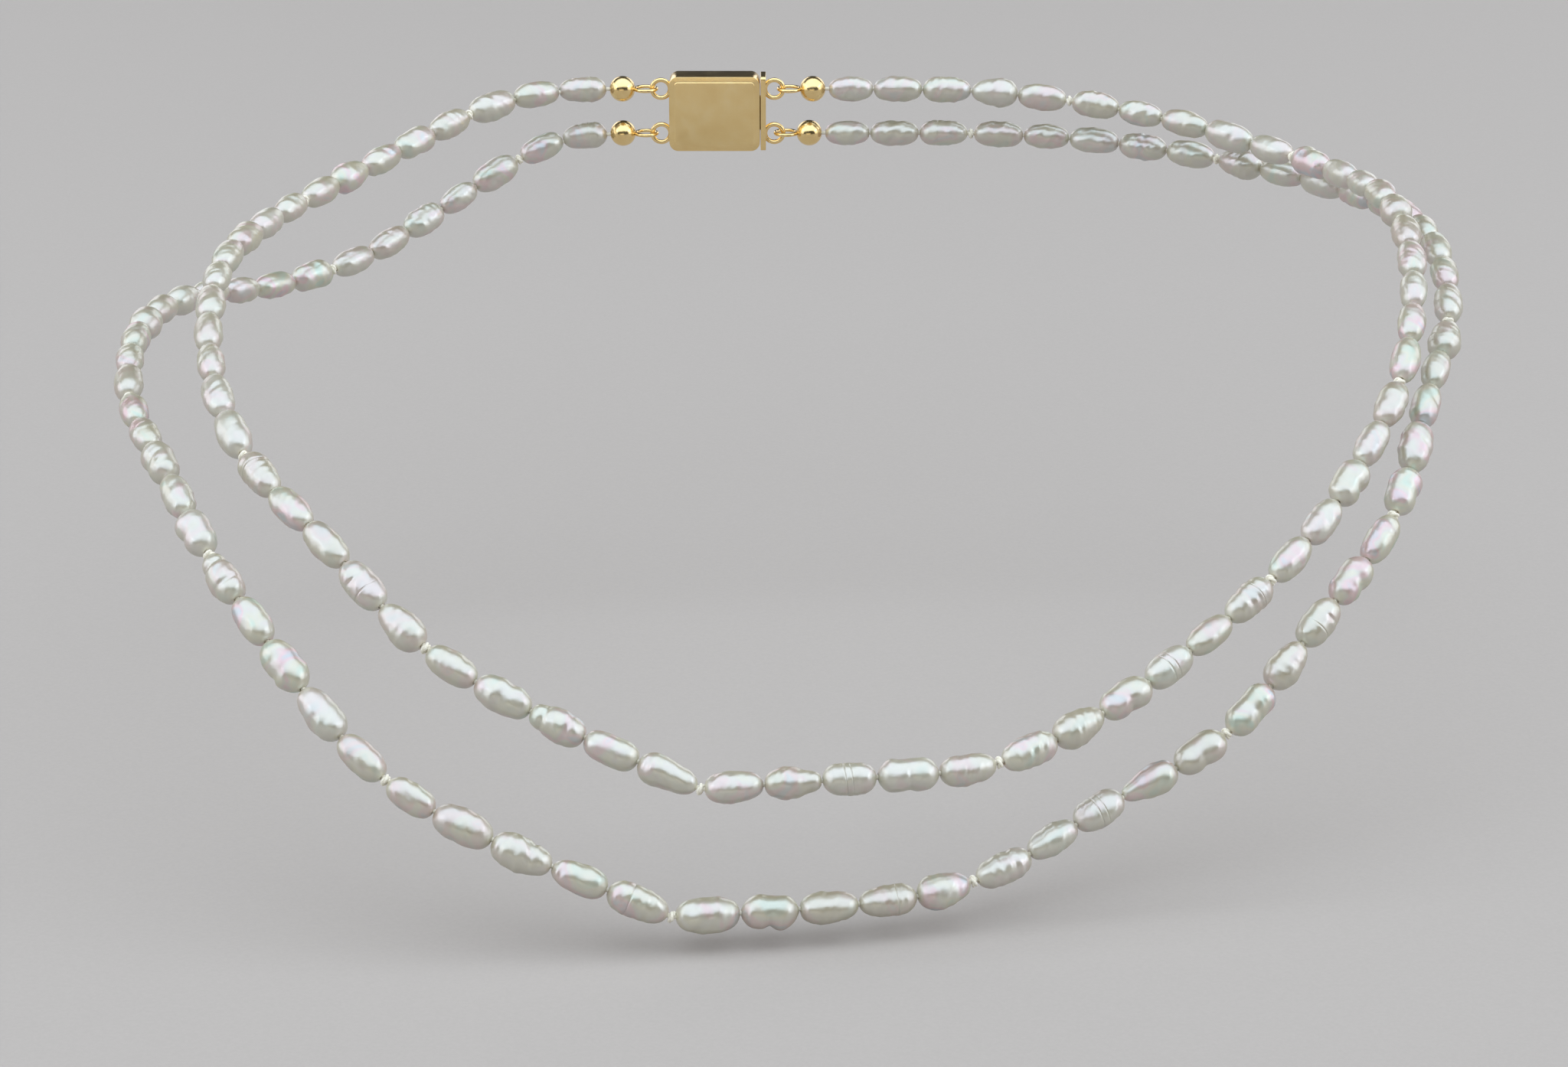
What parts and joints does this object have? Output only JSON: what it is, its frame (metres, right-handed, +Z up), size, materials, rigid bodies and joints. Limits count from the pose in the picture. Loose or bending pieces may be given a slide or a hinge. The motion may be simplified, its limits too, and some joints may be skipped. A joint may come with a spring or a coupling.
{
  "type": "pearl necklace",
  "caption": "Two-strand necklace of white rice-shaped pearls knotted on cream silk, closed at the nape by a gold-coloured two-row box clasp.",
  "frame": {"origin": "centre of the neck opening, level with the tops of the shoulders where the strands cross them", "axes": "+X to the wearer's left, which is the viewer's right; +Y to the nape; +Z up"},
  "size_m": [0.1579, 0.136, 0.0614],
  "materials": {
    "pearl_nacre": "gloss",
    "cream_silk": "matte",
    "gold_metal": "polished"
  },
  "bodies": {
    "root": {"clasp_box": "gold_metal", "clasp_box_rings": "gold_metal", "clasp_face_plate": "gold_metal", "inner_left_bead_tip": "gold_metal", "inner_left_knots": "cream_silk", "inner_left_run_1_pearls": "pearl_nacre", "inner_left_run_2_pearls": "pearl_nacre", "inner_left_run_3_pearls": "pearl_nacre", "inner_left_run_4_pearls": "pearl_nacre", "inner_left_run_5_pearls": "pearl_nacre", "inner_left_run_6_pearls": "pearl_nacre", "inner_left_silk": "cream_silk", "outer_left_bead_tip": "gold_metal", "outer_left_knots": "cream_silk", "outer_left_run_1_pearls": "pearl_nacre", "outer_left_run_2_pearls": "pearl_nacre", "outer_left_run_3_pearls": "pearl_nacre", "outer_left_run_4_pearls": "pearl_nacre", "outer_left_run_5_pearls": "pearl_nacre", "outer_left_run_6_pearls": "pearl_nacre", "outer_left_run_7_pearls": "pearl_nacre", "outer_left_silk": "cream_silk"},
    "inner_right": {"clasp_tongue": "gold_metal", "clasp_tongue_rings": "gold_metal", "inner_right_bead_tip": "gold_metal", "inner_right_knots": "cream_silk", "inner_right_run_2_pearls": "pearl_nacre", "inner_right_run_3_pearls": "pearl_nacre", "inner_right_run_4_pearls": "pearl_nacre", "inner_right_run_5_pearls": "pearl_nacre", "inner_right_run_6_pearls": "pearl_nacre", "inner_right_run_7_pearls": "pearl_nacre", "inner_right_silk": "cream_silk"},
    "outer_right": {"outer_right_bead_tip": "gold_metal", "outer_right_knots": "cream_silk", "outer_right_run_2_pearls": "pearl_nacre", "outer_right_run_3_pearls": "pearl_nacre", "outer_right_run_4_pearls": "pearl_nacre", "outer_right_run_5_pearls": "pearl_nacre", "outer_right_run_6_pearls": "pearl_nacre", "outer_right_run_7_pearls": "pearl_nacre", "outer_right_run_8_pearls": "pearl_nacre", "outer_right_silk": "cream_silk"},
    "spring_leaf": {"clasp_spring_leaf": "gold_metal"},
    "inner_right_front_pearl_1": {"inner_right_front_pearl_1": "pearl_nacre"},
    "inner_right_front_pearl_2": {"inner_right_front_pearl_2": "pearl_nacre"},
    "inner_right_front_pearl_3": {"inner_right_front_pearl_3": "pearl_nacre"},
    "inner_right_front_pearl_4": {"inner_right_front_pearl_4": "pearl_nacre"},
    "inner_right_front_pearl_5": {"inner_right_front_pearl_5": "pearl_nacre"},
    "outer_right_front_pearl_1": {"outer_right_front_pearl_1": "pearl_nacre"},
    "outer_right_front_pearl_2": {"outer_right_front_pearl_2": "pearl_nacre"},
    "outer_right_front_pearl_3": {"outer_right_front_pearl_3": "pearl_nacre"},
    "outer_right_front_pearl_4": {"outer_right_front_pearl_4": "pearl_nacre"},
    "outer_right_front_pearl_5": {"outer_right_front_pearl_5": "pearl_nacre"}
  },
  "joints": [
    {"name": "inner_strand_open", "type": "hinge", "parent": "root", "child": "inner_right", "pos_m": [-0.0125, -0.0635, -0.0392], "axis": [0, 0, -1], "range_deg": [0, 25]},
    {"name": "outer_strand_open", "type": "hinge", "parent": "root", "child": "outer_right", "pos_m": [-0.0155, -0.0685, -0.0515], "axis": [0, 0, -1], "range_deg": [0, 25]},
    {"name": "thumb_leaf_press", "type": "hinge", "parent": "inner_right", "child": "spring_leaf", "pos_m": [-0.0175, 0.0618, 0.003], "axis": [0, 0, -1], "range_deg": [0, 5.5], "stiffness_Nm_per_rad": 0.01},
    {"name": "inner_right_pearl_1_spin", "type": "hinge", "parent": "inner_right", "child": "inner_right_front_pearl_1", "pos_m": [-0.00901, -0.0635, -0.03894], "axis": [0.9972, 0, 0.0748], "continuous": true},
    {"name": "inner_right_pearl_2_spin", "type": "hinge", "parent": "inner_right", "child": "inner_right_front_pearl_2", "pos_m": [-0.00286, -0.06348, -0.03849], "axis": [0.9976, 0.0155, 0.0673], "continuous": true},
    {"name": "inner_right_pearl_3_spin", "type": "hinge", "parent": "inner_right", "child": "inner_right_front_pearl_3", "pos_m": [0.00303, -0.06318, -0.03819], "axis": [0.9955, 0.0896, 0.031], "continuous": true},
    {"name": "inner_right_pearl_4_spin", "type": "hinge", "parent": "inner_right", "child": "inner_right_front_pearl_4", "pos_m": [0.00918, -0.06236, -0.03813], "axis": [0.9856, 0.1691, -0.0082], "continuous": true},
    {"name": "inner_right_pearl_5_spin", "type": "hinge", "parent": "inner_right", "child": "inner_right_front_pearl_5", "pos_m": [0.01548, -0.06097, -0.03805], "axis": [0.9601, 0.2745, 0.054], "continuous": true},
    {"name": "outer_right_pearl_1_spin", "type": "hinge", "parent": "outer_right", "child": "outer_right_front_pearl_1", "pos_m": [-0.01174, -0.06803, -0.05152], "axis": [0.9923, 0.124, -0.0062], "continuous": true},
    {"name": "outer_right_pearl_2_spin", "type": "hinge", "parent": "outer_right", "child": "outer_right_front_pearl_2", "pos_m": [-0.00526, -0.0672, -0.05156], "axis": [0.9905, 0.1377, -0.002], "continuous": true},
    {"name": "outer_right_pearl_3_spin", "type": "hinge", "parent": "outer_right", "child": "outer_right_front_pearl_3", "pos_m": [0.00093, -0.06618, -0.05152], "axis": [0.9822, 0.1875, 0.0133], "continuous": true},
    {"name": "outer_right_pearl_4_spin", "type": "hinge", "parent": "outer_right", "child": "outer_right_front_pearl_4", "pos_m": [0.00711, -0.06483, -0.05139], "axis": [0.9715, 0.2352, 0.0291], "continuous": true},
    {"name": "outer_right_pearl_5_spin", "type": "hinge", "parent": "outer_right", "child": "outer_right_front_pearl_5", "pos_m": [0.01305, -0.0632, -0.05098], "axis": [0.9458, 0.3013, 0.1213], "continuous": true}
  ],
  "couplings": [
    {"joint": "outer_strand_open", "follows": "inner_strand_open", "ratio": 0.9618}
  ]
}
